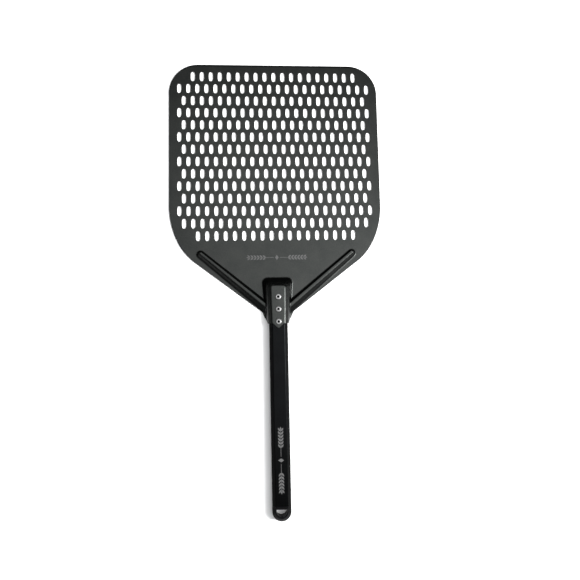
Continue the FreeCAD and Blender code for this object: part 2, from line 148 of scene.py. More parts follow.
# Prints: back distance of the middle, half length, and spread of the ears
HANDLE_PRINT = (612.0, 48.0, 6.5)
HEAD_PRINT = (310.3, 47.5, 6.0)
PRINT_LIFT = 0.03

# Pressed hump and the tongue behind it. The bends are how far each one reaches along the flanks.
# FLANK_ROWS are the rows of points on each straight flank, from the foot up.
TONGUE_TIP = 419.5
TONGUE_TIP_RADIUS = 1.6
TAIL = 412.0
SPREAD = SHEET * math.tan(math.radians(22.5))
SHOULDER_Z = TUBE_TOP - TUBE_BEVEL + SPREAD
TAIL_HALF = HALF_TUBE + SHEET
TOP_HALF = HALF_TUBE - TUBE_BEVEL + SPREAD
FOOT_BEND = 2.2
SHOULDER_BEND = 2.2
EDGE_BEND = 1.8
BEND_POINTS = 7
SIDE_STEPS = 48
FRONT_STEPS = 8
FLANK_ROWS = (6, 4, 3)
BORDER_TAIL = (20.5, 402.0)

# The hump's contours at rising heights:
# height, front, half width near the front, corner radius, half width at the tail, tail
HUMP_LEVELS = {
    "border": (SHEET, 339.9, 25.5, 9.5, *BORDER_TAIL),
    "foot": (SHEET, 342.4, 23.0, 7.0, 18.5, 405.5),
    "low": (9.0, 346.4, 20.4, 7.0, TAIL_HALF + 0.1, TAIL),
    "shoulder": (SHOULDER_Z, 350.4, 17.8, 7.0, TAIL_HALF, TAIL),
    "edge": (PAD_TOP, 355.5, 10.8, 3.6, TOP_HALF, TAIL),
    "pad": (PAD_TOP, 355.5 + EDGE_BEND, 10.8 - EDGE_BEND, 2.0, TOP_HALF - EDGE_BEND, TAIL),
}

# Extra points inside the hump's flat top: spacing, and the back distances between which they lie.
# They keep EDGE_CLEARANCE from its edge and its holes, and the ribs' points from the sheet's edge.
PAD_GRID = 2.5
PAD_GRID_BACK = (357.0, 418.0)
EDGE_CLEARANCE = 0.8


def back(distance):
    """Y of a place this far behind the front edge."""
    return FRONT - distance


# --- plan curves ----------------------------------------------------------------------------------


def unit(vector):
    return vector / np.linalg.norm(vector)


def unit_rows(vectors):
    return vectors / np.linalg.norm(vectors, axis=1)[:, None]


def heading_axes(heading):
    """Unit vectors along a heading in plan (radians), and to its left."""
    along = np.array((math.cos(heading), math.sin(heading)))
    return along, np.array((-along[1], along[0]))


def arc_points(centre, radius, start, end, count):
    """Points of an arc, from angle start to angle end in degrees, both included."""
    x, y = centre
    angles = np.radians(np.linspace(start, end, count))
    return [np.array((x + radius * math.cos(a), y + radius * math.sin(a))) for a in angles]


def rounded_corner(corner, before, after, radius, count):
    """Points of the arc that rounds a corner on the way from before to after."""
    corner, before, after = (np.array(p, float) for p in (corner, before, after))
    to_before = unit(before - corner)
    to_after = unit(after - corner)
    half_angle = math.acos(np.clip(to_before @ to_after, -1, 1)) / 2
    centre = corner + unit(to_before + to_after) * radius / math.sin(half_angle)
    reach = radius / math.tan(half_angle)
    first = corner + to_before * reach - centre
    last = corner + to_after * reach - centre
    turn = math.pi - 2 * half_angle
    points = []
    for share in np.linspace(0, 1, count):
        weight_first = math.sin((1 - share) * turn) / math.sin(turn)
        weight_last = math.sin(share * turn) / math.sin(turn)
        points.append(centre + first * weight_first + last * weight_last)
    return points


def swept(start, bend, end, count):
    """Points of a curve that leaves start towards bend and comes to end from it."""
    shares = np.linspace(0, 1, count)
    return [start * (1 - t) ** 2 + bend * 2 * t * (1 - t) + end * t**2 for t in shares]


def flipped(points):
    """The same points on the other side of the middle line."""
    return [p * np.array((-1.0, 1.0)) for p in points]


def at_height(points, z):
    """Plan points as points in space, all at one height."""
    return np.column_stack((points, np.full(len(points), z)))


def inset_loop(points, distance):
    """A closed anticlockwise loop moved inwards."""
    loop = np.array(points)
    ahead = unit_rows(np.roll(loop, -1, axis=0) - loop)
    behind = unit_rows(loop - np.roll(loop, 1, axis=0))
    along = unit_rows(ahead + behind)
    inward = np.stack((-along[:, 1], along[:, 0]), axis=1)
    return loop + inward * distance


def resampled(points, spacing):
    """The same path without repeated points, and with no stretch longer than spacing."""
    path = [np.array(points[0], float)]
    for target in points[1:]:
        target = np.array(target, float)
        start = path[-1]
        count = math.ceil(np.linalg.norm(target - start) / spacing - 1e-6)
        path += [start + (target - start) * i / count for i in range(1, count + 1)]
    return path


# --- meshes ---------------------------------------------------------------------------------------


def make_piece(name, points, faces, material, replaced=(), normals=None):
    """A smooth-shaded mesh piece, given in millimetres, that rides on the peel's only body."""
    mesh = bpy.data.meshes.new(name)
    mesh.from_pydata((np.array(points) / METRE).tolist(), [], faces)
    mesh.validate()
    mesh.shade_smooth()
    if normals is not None:
        mesh.normals_split_custom_set_from_vertices(np.array(normals).tolist())
    mesh.materials.append(material)
    piece = bpy.data.objects.new(name, mesh)
    bpy.context.scene.collection.objects.link(piece)
    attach(piece, "root")
    if replaced:
        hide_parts(*replaced)


def fill(loops, extra_points):
    """Triangles over the plan area inside the first loop. The caller drops those in the holes."""
    points = []
    edges = []
    for loop in loops:
        first = len(points)
        points += list(loop)
        edges += [(first + i, first + (i + 1) % len(loop)) for i in range(len(loop))]
    points += list(extra_points)
    found, _, faces, origins, _, _ = delaunay_2d_cdt([Vector(p) for p in points], edges, [], 1, 1e-4)
    plan = np.array([points[known[0]] if known else tuple(p) for p, known in zip(found, origins)])
    return plan, np.array(faces)


def inside_loop(points, loop):
    """True for each plan point inside the closed loop."""
    x, y = points[:, 0], points[:, 1]
    inside = np.zeros(len(points), bool)
    loop = np.array(loop)[:, :2]
    for (x0, y0), (x1, y1) in zip(loop, np.roll(loop, -1, axis=0)):
        crosses = (y0 > y) != (y1 > y)
        if crosses.any():
            at = x0 + (y - y0) * (x1 - x0) / (y1 - y0 if y1 != y0 else 1)
            inside ^= crosses & (x < at)
    return inside


def grid_faces(rows, columns, closed=False):
    """Quads between neighbouring rows of points, each row closed into a ring if asked."""
    faces = []
    for row in range(rows - 1):
        for column in range(columns if closed else columns - 1):
            here = row * columns + column
            ahead = row * columns + (column + 1) % columns
            faces.append((here, ahead, ahead + columns, here + columns))
    return faces


def joined(parts):
    """One list of points and one of faces, from pairs of points and faces."""
    points = []
    faces = []
    for part_points, part_faces in parts:
        faces += [tuple(i + len(points) for i in face) for face in part_faces]
        points += list(part_points)
    return points, faces


def welded(points, faces):
    """Joins points that coincide, and drops faces that this closes up."""
    keys = np.round(np.array(points), 4)
    _, keep, merged = np.unique(keys, axis=0, return_index=True, return_inverse=True)
    merged = merged.reshape(-1)
    result = []
    for face in faces:
        ring = [int(merged[i]) for i in face]
        ring = [v for i, v in enumerate(ring) if v != ring[i - 1]]
        if len(ring) >= 3:
            result.append(tuple(ring))
    return np.array(points)[keep], result


def point_normals(points, faces, by_area=False):
    """Normals at the points, each face weighted by its angle there, or by its area."""
    normals = np.zeros_like(points)
    triangles = np.array([(f[0], f[i], f[i + 1]) for f in faces for i in range(1, len(f) - 1)])
    corners = points[triangles]
    flat = np.cross(corners[:, 1] - corners[:, 0], corners[:, 2] - corners[:, 0])
    size = np.linalg.norm(flat, axis=1)
    sound = size > 1e-9
    triangles, corners = triangles[sound], corners[sound]
    flat = flat[sound] / size[sound][:, None]
    for k in range(3):
        ahead = unit_rows(corners[:, (k + 1) % 3] - corners[:, k])
        behind = unit_rows(corners[:, (k + 2) % 3] - corners[:, k])
        angle = np.arccos(np.clip((ahead * behind).sum(1), -1, 1))
        weight = size[sound] if by_area else angle
        np.add.at(normals, triangles[:, k], flat * weight[:, None])
    return unit_rows(normals)


def open_loops(faces):
    """The sheet's free edges, as loops of point numbers with the sheet on their left."""
    sides = {(f[i - 1], f[i]) for f in faces for i in range(len(f))}
    following = {a: b for a, b in sides if (b, a) not in sides}
    loops = []
    while following:
        start = next(iter(following))
        loop = [start]
        step = following.pop(start)
        while step != start:
            loop.append(step)
            step = following.pop(step)
        loops.append(loop)
    return loops


def rim_rings(top, under, up, down):
    """Rings round both edges of the sheet along one free loop, from the top down, and their normals."""
    along = np.roll(top, -1, axis=0) - np.roll(top, 1, axis=0)
    outward = unit_rows(np.cross(along, up))
    radius = np.minimum(RIM, RIM_SHARE * np.linalg.norm(top - under, axis=1))[:, None]
    rings = []
    normals = []
    for edge, facing in ((top, up), (under, down)):
        curve = []
        tilt = []
        for step in range(1, RIM_STEPS + 1):
            angle = math.pi / 2 * step / RIM_STEPS
            inwards = facing * radius * (1 - math.cos(angle))
            curve.append(edge + outward * radius * math.sin(angle) - inwards)
            tilt.append(outward * math.sin(angle) + facing * math.cos(angle))
        if facing is down:
            curve.reverse()
            tilt.reverse()
        rings += curve
        normals += tilt
    return rings, normals


def thick_sheet(points, faces, lowered):
    """Gives a top surface its underside and rounded rims. lowered is how far each top point drops."""
    normals = point_normals(points, faces)
    under = points - normals * SHEET
    top = points - np.stack((0 * lowered, 0 * lowered, lowered), axis=1)
    top_normals = point_normals(top, faces)
    count = len(points)
    all_points = [top, under]
    all_normals = [top_normals, -normals]
    all_faces = list(faces) + [tuple(i + count for i in reversed(face)) for face in faces]
    total = 2 * count
    for loop in open_loops(faces):
        rings, ring_normals = rim_rings(top[loop], under[loop], top_normals[loop], -normals[loop])
        size = len(loop)
        ids = [loop] + [range(total + k * size, total + (k + 1) * size) for k in range(len(rings))]
        ids.append([i + count for i in loop])
        total += size * len(rings)
        all_points += rings
        all_normals += ring_normals
        for upper, lower in zip(ids, ids[1:]):
            all_faces += [(upper[i - 1], lower[i - 1], lower[i], upper[i]) for i in range(size)]
    whole = np.concatenate(all_points)
    whole[:, 2] = np.maximum(whole[:, 2], 0)
    return whole, all_faces, np.concatenate(all_normals)


# --- head -----------------------------------------------------------------------------------------


def head_outline():
    """The head's edge from the hump's right tail round the front to its left tail."""
    corner_centre = (HALF_HEAD - FRONT_CORNER, FRONT - FRONT_CORNER)
    path = arc_points(corner_centre, FRONT_CORNER, 90, 0, 28)
    here = np.array((HALF_HEAD, back(SIDE_END)))
    heading = 0.0
    for radius, turn in SHOULDERS:
        centre = here - radius * np.array((math.cos(heading), math.sin(heading)))
        end = heading - math.radians(turn)
        path += arc_points(centre, radius, math.degrees(heading), math.degrees(end), 24)
        here = path[-1]
        heading = end
    neck = (NECK_HALF_WIDTH, back(NECK_BACK))
    path += rounded_corner(neck, here, (TAIL_HALF, back(TAIL)), NECK_RADIUS, 8)
    path.append(np.array((BORDER_TAIL[0], back(BORDER_TAIL[1]))))
    right = resampled([np.array((0.0, FRONT))] + path, EDGE_SPACING)
    return np.array(right[::-1] + flipped(right[1:]))


def slot_centres():
    """Middle of each slot in plan: every other row is shifted by half a pitch."""
    for row, count in enumerate(ROW_COUNTS):
        for place in range(count):
            yield (place - (count - 1) / 2) * SLOT_PITCH, back(FIRST_ROW + row * ROW_PITCH)


def slot_loop(x, y):
    """One slot's edge, wider by the rounded rim: an oval with flattened sides."""
    half_width = SLOT_WIDTH / 2 + RIM
    half_length = SLOT_LENGTH / 2 + RIM
    loop = []
    for angle in np.linspace(0, 2 * math.pi, SLOT_POINTS, endpoint=False):
        across, along = (
            math.copysign(abs(share) ** (2 / SLOT_SQUARENESS), share)
            for share in (math.cos(angle), math.sin(angle))
        )
        loop.append(np.array((x + half_width * across, y + half_length * along)))
    return loop


def in_slot(points):
    """True for each plan point that lies in a slot, a little inside its loop's chords."""
    row = np.round((FRONT - FIRST_ROW - points[:, 1]) / ROW_PITCH)
    row = np.clip(row, 0, len(ROW_COUNTS) - 1).astype(int)
    count = np.array(ROW_COUNTS)[row]
    place = np.clip(np.round(points[:, 0] / SLOT_PITCH + (count - 1) / 2), 0, count - 1)
    dx = np.abs(points[:, 0] - (place - (count - 1) / 2) * SLOT_PITCH) / (SLOT_WIDTH / 2 + RIM)
    dy = np.abs(points[:, 1] - back(FIRST_ROW + row * ROW_PITCH)) / (SLOT_LENGTH / 2 + RIM)
    return dx**SLOT_SQUARENESS + dy**SLOT_SQUARENESS < SLOT_CORE


def rib_axes(points):
    """Distance along and across the rib of the same side, from the centre of its round end."""
    slope = math.radians(RIB_SLOPE)
    dx = np.abs(points[:, 0]) - RIB_TIP[0]
    dy = points[:, 1] - back(RIB_TIP[1])
    return -dx * math.cos(slope) - dy * math.sin(slope), -dx * math.sin(slope) + dy * math.cos(slope)


def rib_height(points):
    """Height of the ribs above the sheet.

    The crest lies nearer the rib's inner foot, so the inner flank is steep and the outer one is long.
    The height falls along straight lines from the crest to the foot, with soft bends at both ends.
    """
    along, across = rib_axes(points)
    share = np.clip(along / RIB_LENGTH, 0, 1)
    half_width = RIB_TIP_RADIUS + (RIB_ROOT_HALF_WIDTH - RIB_TIP_RADIUS) * share
    crest_offset = RIB_CREST_OFFSET * half_width
    from_crest = np.hypot(np.minimum(along, 0), across - crest_offset)
    lean = crest_offset * (across - crest_offset) / np.maximum(from_crest, 1e-6)
    reach = np.sqrt(lean**2 + half_width**2 - crest_offset**2) - lean
    u = np.clip((reach - from_crest) / (reach - RIB_CREST), 0, 1)
    steep = 1 / (1 - RIB_ROUNDING)
    low = steep * u**2 / (2 * RIB_ROUNDING)
    middle = steep * (u - RIB_ROUNDING / 2)
    high = 1 - steep * (1 - u) ** 2 / (2 * RIB_ROUNDING)
    height = np.where(u < RIB_ROUNDING, low, np.where(u < 1 - RIB_ROUNDING, middle, high))
    return RIB_HEIGHT * np.where(along > RIB_LENGTH, 0, height)


def rib_points():
    """Plan points that follow the ribs, close together across them."""
    slope = math.radians(RIB_SLOPE)
    along = np.array((-math.cos(slope), -math.sin(slope)))
    across = np.array((-math.sin(slope), math.cos(slope)))
    tip = np.array((RIB_TIP[0], back(RIB_TIP[1])))
    points = []
    for distance in np.arange(0, RIB_LENGTH, RIB_POINT_STEP):
        for offset in RIB_POINT_OFFSETS:
            points += [tip + along * distance + across * side * offset for side in (1, -1)]
    for offset in RIB_POINT_OFFSETS[1:]:
        for angle in np.linspace(-80, 80, 13):
            turn = math.radians(angle)
            points.append(tip - offset * (along * math.cos(turn) + across * math.sin(turn)))
    return np.array(points + flipped(points))


def near_any(points, others, distance):
    """True for each point closer than distance to one of the others."""
    gaps = np.array(points)[:, None, :] - np.array(others)[None, :, :]
    return (np.hypot(gaps[..., 0], gaps[..., 1]) < distance).any(axis=1)


def hump_rail(level):
    """One contour of the hump, from its right tail round the front to its left tail."""
    z, front, half_width, radius, tail_half_width, tail = HUMP_LEVELS[level]
    corner = np.array((half_width, back(front)))
    end = np.array((tail_half_width, back(tail)))
    bend = rounded_corner(corner, end, (0, back(front)), radius, 10)
    side = [end + (bend[0] - end) * i / SIDE_STEPS for i in range(SIDE_STEPS)]
    middle = np.array((0.0, back(front)))
    to_middle = middle - bend[-1]
    front_edge = [bend[-1] + to_middle * i / FRONT_STEPS for i in range(1, FRONT_STEPS + 1)]
    right = side + bend + front_edge
    return at_height(right + flipped(right[-2::-1]), z)


def bent(before, corner, after, reach):
    """Rounds the corner of every profile: points from one flank to the other."""
    start = corner + unit_rows(before - corner) * reach
    end = corner + unit_rows(after - corner) * reach
    return swept(start, corner, end, BEND_POINTS)


def between(start, end, count):
    """Evenly spaced steps from start to end, without either."""
    return [start + (end - start) * i / (count + 1) for i in range(1, count + 1)]


def hump_surface():
    """The hump's sides: profiles that rise from the sheet to the flat top, with rounded bends."""
    rails = {name: hump_rail(name) for name in HUMP_LEVELS}
    foot_end = rails["foot"] + unit_rows(rails["low"] - rails["foot"]) * FOOT_BEND
    foot = swept(rails["border"], rails["foot"], foot_end, BEND_POINTS)
    shoulder = bent(rails["low"], rails["shoulder"], rails["edge"], SHOULDER_BEND)
    edge = bent(rails["shoulder"], rails["edge"], rails["pad"], EDGE_BEND)
    lower, upper, sloping = FLANK_ROWS
    rows = foot + between(foot_end, rails["low"], lower) + [rails["low"]]
    rows += between(rails["low"], shoulder[0], upper) + shoulder
    rows += between(shoulder[-1], edge[0], sloping) + edge
    rows[-1] = rails["pad"]
    return rails, np.array(rows)


def build_head(material):
    """Flat perforated sheet, hump and flat top as one surface, then given its thickness."""
    rails, rows = hump_surface()
    sheet_plan, sheet_faces = sheet_area(rails["border"][:, :2])
    pad_plan, pad_faces = pad_area(rails["pad"][:, :2])
    points, faces = welded(*joined([
        (at_height(sheet_plan, SHEET), sheet_faces),
        (rows.reshape(-1, 3), grid_faces(rows.shape[0], rows.shape[1])),
        (at_height(pad_plan, PAD_TOP), pad_faces),
    ]))
    rise = points[:, 2] - SHEET
    points[:, 2] = SHEET + (rise**RIB_BLEND + rib_height(points) ** RIB_BLEND) ** (1 / RIB_BLEND)
    bevel = np.clip((points[:, 1] - (FRONT - FRONT_BEVEL_RUN)) / FRONT_BEVEL_RUN, 0, 1)
    points, faces, normals = thick_sheet(points, faces, bevel * FRONT_BEVEL_DROP)
    make_piece("head_sheet", points, faces, material, ("head_plate",), normals)


def sheet_area(border):
    """Plan triangles of the perforated sheet, round the hump's border."""
    outline = head_outline()
    loop = np.concatenate((outline, border[-2:0:-1]))
    edge = len(outline) - 1
    loop[1:edge] = inset_loop(loop, RIM)[1:edge]
    slots = [slot_loop(x, y) for x, y in slot_centres()]
    extra = rib_points()
    extra = extra[inside_loop(extra, loop) & ~near_any(extra, loop, EDGE_CLEARANCE)]
    bevel = []
    for gap in FRONT_BEVEL_ROWS:
        setback = FRONT_BEVEL_RUN + gap
        into_corner = math.sqrt(FRONT_CORNER**2 - (FRONT_CORNER - setback) ** 2)
        reach = HALF_HEAD - FRONT_CORNER + into_corner - 1
        bevel += [(x, FRONT - setback) for x in np.linspace(-reach, reach, FRONT_BEVEL_POINTS)]
    plan, triangles = fill([loop] + slots, np.concatenate((extra, bevel)))
    return plan, triangles[~in_slot(plan[triangles].mean(axis=1))]


def pad_area(rail):
    """Plan triangles of the hump's flat top and the pointed tongue, round the rivet holes."""
    right, left = rail[0], rail[-1]
    tip = np.array((0.0, back(TONGUE_TIP)))
    tongue = resampled([left] + rounded_corner(tip, left, right, TONGUE_TIP_RADIUS, 7) + [right], 1.5)
    loop = np.concatenate((rail, tongue[1:-1]))
    holes = [arc_points(centre, RIVET_HOLE_RADIUS, 0, 345, 24) for centre in rivet_centres()]
    nearest, farthest = PAD_GRID_BACK
    across = np.arange(-3, 4) * PAD_GRID
    along = np.arange(back(farthest), back(nearest), PAD_GRID)
    grid = np.array([(x, y) for x in across for y in along])
    keep = inside_loop(grid, loop) & ~near_any(grid, loop, EDGE_CLEARANCE)
    for hole in holes:
        keep &= ~near_any(grid, hole, EDGE_CLEARANCE) & ~inside_loop(grid, hole)
    plan, triangles = fill([loop] + holes, grid[keep])
    centres = plan[triangles].mean(axis=1)
    solid = np.ones(len(triangles), bool)
    for hole in holes:
        solid &= ~inside_loop(centres, hole)
    return plan, triangles[solid]


def rivet_centres():
    """Middle of each rivet in plan."""
    return [sum(box_mm(f"rivet_{place}"))[:2] / 2 for place in RIVET_PLACES]


# --- handle and rivets ----------------------------------------------------------------------------


def ring_surface(name, rings, material, node):
    """A closed surface through a series of equal rings, from the last ring back to the first."""
    size = len(rings[0])
    points = np.concatenate(rings + [rings[0]])
    points, faces = welded(points, grid_faces(len(rings) + 1, size, closed=True))
    normals = point_normals(points, faces, by_area=True)
    make_piece(name, points, faces, material, (node,), normals)


def tube_section(inset, radius):
    """The handle's flat-sided section, shrunk by inset, as (x, z) points with rounded corners."""
    side = HALF_TUBE - inset
    low = inset
    high = TUBE_TOP - inset
    bevel = TUBE_BEVEL - inset * (2 - math.sqrt(2))
    right = [(side - bevel, low), (side, low + bevel), (side, high - bevel), (side - bevel, high)]
    corners = right + [(-x, z) for x, z in reversed(right)]
    section = []
    for i, corner in enumerate(corners):
        ahead = corners[(i + 1) % len(corners)]
        section += rounded_corner(corner, corners[i - 1], ahead, radius, 6)
    return np.array(section)


def build_tube(material):
    """Rounded ends: each ring is a section at its own distance from the front edge."""
    front = FRONT - TUBE_HIGH[1]
    rear = FRONT - TUBE_LOW[1]
    rim = TUBE_END_RIM
    steps = [(rim * (1 - math.sin(a)), rim * (1 - math.cos(a))) for a in np.radians((90, 60, 30, 0))]
    stations = [(inset, rear - setback) for inset, setback in steps]
    stations += [(TUBE_WALL - inset, rear - setback) for inset, setback in reversed(steps)]
    stations += [(TUBE_WALL - inset, front + setback) for inset, setback in steps]
    stations += [(inset, front + setback) for inset, setback in reversed(steps)]
    rings = []
    for inset, distance in stations:
        x, z = tube_section(inset, TUBE_EDGE_RADIUS - inset / 2).T
        rings.append(np.column_stack((x, np.full(len(x), back(distance)), z)))
    ring_surface("handle_tube_skin", rings, material, "handle_tube")


def d_contour(straight_back, half_width, centre_back):
    """Anticlockwise plan loop: a straight side across at the front and a half circle at the rear."""
    sweep = arc_points((0, back(centre_back)), half_width, -180, 0, ARC_POINTS)
    front = back(straight_back)
    corners = [np.array((half_width, front)), np.array((-half_width, front))]
    return np.array(sweep + corners)


def cap_profile():
    """The cap's outer edge as (inset, z), from the underside up, with rounded bends."""
    corners = [(TUBE_BEVEL + CAP_LEDGE, 0), (TUBE_BEVEL, 0), (0, TUBE_BEVEL)]
    corners += [(inset, TUBE_TOP - z) for inset, z in reversed(corners)]
    profile = []
    for before, corner, after in zip(corners, corners[1:], corners[2:]):
        profile += rounded_corner(corner, before, after, CAP_EDGE_RADIUS, 5)
    return profile


def hang_hole_rings(longer_centre):
    """Rings down the D-shaped hole: rounded rim, thin top, and the longer part below it."""
    start, end = HANG_HOLE_BACK
    half = HANG_HOLE_HALF_WIDTH
    rings = []
    for angle in np.radians((0, 30, 60, 90)):
        grown = HANG_HOLE_RIM * (1 - math.sin(angle))
        loop = d_contour(start - grown, half + grown, end - half)
        rings.append(at_height(loop, TUBE_TOP - HANG_HOLE_RIM * (1 - math.cos(angle))))
    web = TUBE_TOP - HANG_WEB
    longer = d_contour(start, half, longer_centre)
    rings.append(at_height(d_contour(start, half, end - half), web))
    return rings + [at_height(longer, web - HANG_HOLE_RIM), at_height(longer, 0.0)]


def flat_ring(z, outer, inner, upward):
    """The level face between two rings, as points and triangles."""
    plan, triangles = fill([outer[:, :2], inner[:, :2]], [])
    triangles = triangles[~inside_loop(plan[triangles].mean(axis=1), inner)]
    return at_height(plan, z), triangles if upward else triangles[:, ::-1]


def build_cap(material):
    """Bevelled end piece with the D-shaped hole, which is longer below its thin top."""
    joint = FRONT - TUBE_LOW[1]
    centre = FRONT - CAP_LOW[1] - HALF_TUBE
    sides = [at_height(d_contour(joint, HALF_TUBE - inset, centre), z) for inset, z in cap_profile()]
    hole = hang_hole_rings(centre)
    size = len(hole[0])
    points, faces = welded(*joined([
        (np.concatenate(sides), grid_faces(len(sides), size, closed=True)),
        (np.concatenate(hole), grid_faces(len(hole), size, closed=True)),
        flat_ring(TUBE_TOP, sides[-1], hole[0], True),
        flat_ring(0.0, sides[0], hole[-1], False),
    ]))
    normals = point_normals(points, faces, by_area=True)
    make_piece("end_cap_shell", points, faces, material, ("end_cap",), normals)


def rivet_profile(flange, top, bottom):
    """Half section as (radius, z): from the flange's rim over the dome, down the bore and back up."""
    wall = TUBE_TOP - TUBE_WALL
    rim_corner = (flange, PAD_TOP)
    rim = rounded_corner(rim_corner, (RIVET_SHANK, PAD_TOP), (flange, top), RIVET_RIM_ROUNDING, 4)
    bend_in, bend_down = RIVET_DOME_BEND
    dome = swept(
        np.array((flange, PAD_TOP + RIVET_DOME_START)),
        np.array((flange - bend_in, top - bend_down)),
        np.array((RIVET_CROWN, top)), 12)
    lip_corner = (RIVET_BORE, top)
    lip = rounded_corner(lip_corner, (RIVET_CROWN, top), (RIVET_BORE, wall), RIVET_LIP_ROUNDING, 5)
    sleeve = [(RIVET_BORE, bottom), (RIVET_SHANK, bottom)]
    bulb = [(radius, wall - depth) for radius, depth in RIVET_BULB]
    shank = [(RIVET_SHANK, wall), (RIVET_SHANK, PAD_TOP)]
    return rim + dome + lip + sleeve + bulb + shank


def build_rivet(place, material):
    """A turned blind rivet: domed flange, bore, shank and the swollen blind side."""
    low, high = box_mm(f"rivet_{place}")
    x, y = (low + high)[:2] / 2
    turns = np.linspace(0, 2 * math.pi, RIVET_SIDES, endpoint=False)
    rings = []
    for radius, z in rivet_profile((high - low)[0] / 2, high[2], low[2]):
        loop = np.column_stack((x + radius * np.cos(turns), y + radius * np.sin(turns)))
        rings.append(at_height(loop, z))
    ring_surface(f"rivet_{place}_turned", rings, material, f"rivet_{place}")


# --- prints ---------------------------------------------------------------------------------------

# STEM_HALF_WIDTH and GRAIN_OFFSET are in millimetres, and GRAIN_LEAN is in radians. STEM_SHARE and the
# grains' places are shares of the ear's length, and GRAIN_WIDTH_SHARE is one of the grain's length.
# The other shares are of the ear's spread. DIAMOND_STRETCH is the diamond's width over its length.
STEM_HALF_WIDTH = 0.3
STEM_SHARE = 0.9
GRAIN_LENGTH_SHARE = 0.95
GRAIN_WIDTH_SHARE = 0.42
GRAIN_PLACES = np.arange(0.3, 0.86, 0.11)
TIP_GRAIN_PLACE = 0.86
GRAIN_OFFSET = 0.45
GRAIN_LEAN = 0.62
EAR_START_SHARE = 0.8
DIAMOND_SHARE = 0.45
DIAMOND_STRETCH = 1.5


def leaf(base, heading, length):
    """A pointed oval in plan, from its base along heading (radians)."""
    along, across = heading_axes(heading)
    shares = np.linspace(0, 1, 9)
    bulge = np.sin(math.pi * shares**0.8) * length * GRAIN_WIDTH_SHARE / 2
    left = [base + along * length * t + across * w for t, w in zip(shares, bulge)]
    right = [base + along * length * t - across * w for t, w in zip(shares[1:-1], bulge[1:-1])]
    return right + left[::-1]


def wheat_ear(base, heading, length, spread):
    """Grains in pairs along a thin stem, with one at the tip."""
    along, across = heading_axes(heading)
    tip = base + along * length * STEM_SHARE
    side = across * STEM_HALF_WIDTH
    grain = spread * GRAIN_LENGTH_SHARE
    shapes = [
        [base - side, tip - side, tip + side, base + side],
        leaf(base + along * length * TIP_GRAIN_PLACE, heading, grain),
    ]
    for share in GRAIN_PLACES:
        for way in (1, -1):
            place = base + along * length * share + across * way * GRAIN_OFFSET
            shapes.append(leaf(place, heading + way * GRAIN_LEAN, grain))
    return shapes


def build_print(name, layout, heading, height, material):
    """Two wheat ears that grow outwards from a diamond, printed flat on a face."""
    distance, half_length, spread = layout
    along, across = heading_axes(heading)
    middle = np.array((0, back(distance)))
    long = along * spread * DIAMOND_SHARE
    wide = across * spread * DIAMOND_SHARE * DIAMOND_STRETCH
    shapes = [[middle + long, middle + wide, middle - long, middle - wide]]
    gap = spread * EAR_START_SHARE
    for turn in (0, math.pi):
        start = middle + along * math.cos(turn) * gap
        shapes += wheat_ear(start, heading + turn, half_length - gap, spread)
    flat = [(at_height(shape, height + PRINT_LIFT), [range(len(shape))]) for shape in shapes]
    points, faces = joined(flat)
    make_piece(name, points, faces, material)


# --- materials ------------------------------------------------------------------------------------


class Nodes:
    """Short names for building one node material."""

    def __init__(self, name):
        self.material = bpy.data.materials.new(name)
        self.material.use_nodes = True
        self.tree = self.material.node_tree
        self.shader = self.tree.nodes["Principled BSDF"]

    def add(self, kind, **settings):
        node = self.tree.nodes.new(kind)
        for key, value in settings.items():
            setattr(node, key, value)
        return node

    def link(self, source, target):
        self.tree.links.new(source, target)

    def noise(self, scale, detail):
        """Noise over the object's own coordinates, with about scale features to the metre."""
        place = self.add("ShaderNodeTexCoord")
        noise = self.add("ShaderNodeTexNoise")
        noise.inputs["Scale"].default_value = scale
        noise.inputs["Detail"].default_value = detail
        self.link(place.outputs["Object"], noise.inputs["Vector"])
        return noise.outputs["Fac"]

    def ramp(self, source, low, high, first, last):
        """Maps source from low..high to the colours first..last."""
        ramp = self.add("ShaderNodeValToRGB")
        ramp.color_ramp.elements[0].position = low
        ramp.color_ramp.elements[1].position = high
        ramp.color_ramp.elements[0].color = (*first, 1)
        ramp.color_ramp.elements[1].color = (*last, 1)
        self.link(source, ramp.inputs["Fac"])
        return ramp.outputs["Color"]

    def value(self, source, low, high):
        """Maps noise to a value between low and high."""
        node = self.add("ShaderNodeMapRange")
        node.inputs["From Min"].default_value = 0.3
        node.inputs["From Max"].default_value = 0.7
        node.inputs["To Min"].default_value = low
        node.inputs["To Max"].default_value = high
        self.link(source, node.inputs["Value"])
        return node.outputs["Result"]

    def bump(self, height, distance, strength):
        """Raises the surface by height. distance is in metres."""
        node = self.add("ShaderNodeBump")
        node.inputs["Distance"].default_value = distance
        node.inputs["Strength"].default_value = strength
        self.link(height, node.inputs["Height"])
        self.link(node.outputs["Normal"], self.shader.inputs["Normal"])


def grey(value):
    return (value, value, value)


def anodised(name, dark, light, roughness, grain):
    """Dyed anodised aluminium: a cloudy satin black with a fine etched grain."""
    nodes = Nodes(name)
    shader = nodes.shader
    shader.inputs["Metallic"].default_value = 1.0
    speckle = nodes.add("ShaderNodeMath", operation="MULTIPLY")
    speckle.inputs[1].default_value = 0.55
    nodes.link(nodes.noise(620, 3), speckle.inputs[0])
    cloud = nodes.add("ShaderNodeMath", operation="MULTIPLY_ADD")
    cloud.inputs[1].default_value = 0.45
    nodes.link(nodes.noise(38, 4), cloud.inputs[0])
    nodes.link(speckle.outputs[0], cloud.inputs[2])
    nodes.link(nodes.ramp(cloud.outputs[0], 0.38, 0.62, dark, light), shader.inputs["Base Color"])
    fine = nodes.noise(2600, 2)
    nodes.link(nodes.value(fine, roughness - 0.05, roughness + 0.06), shader.inputs["Roughness"])
    nodes.bump(fine, 0.00003, grain)
    return nodes.material


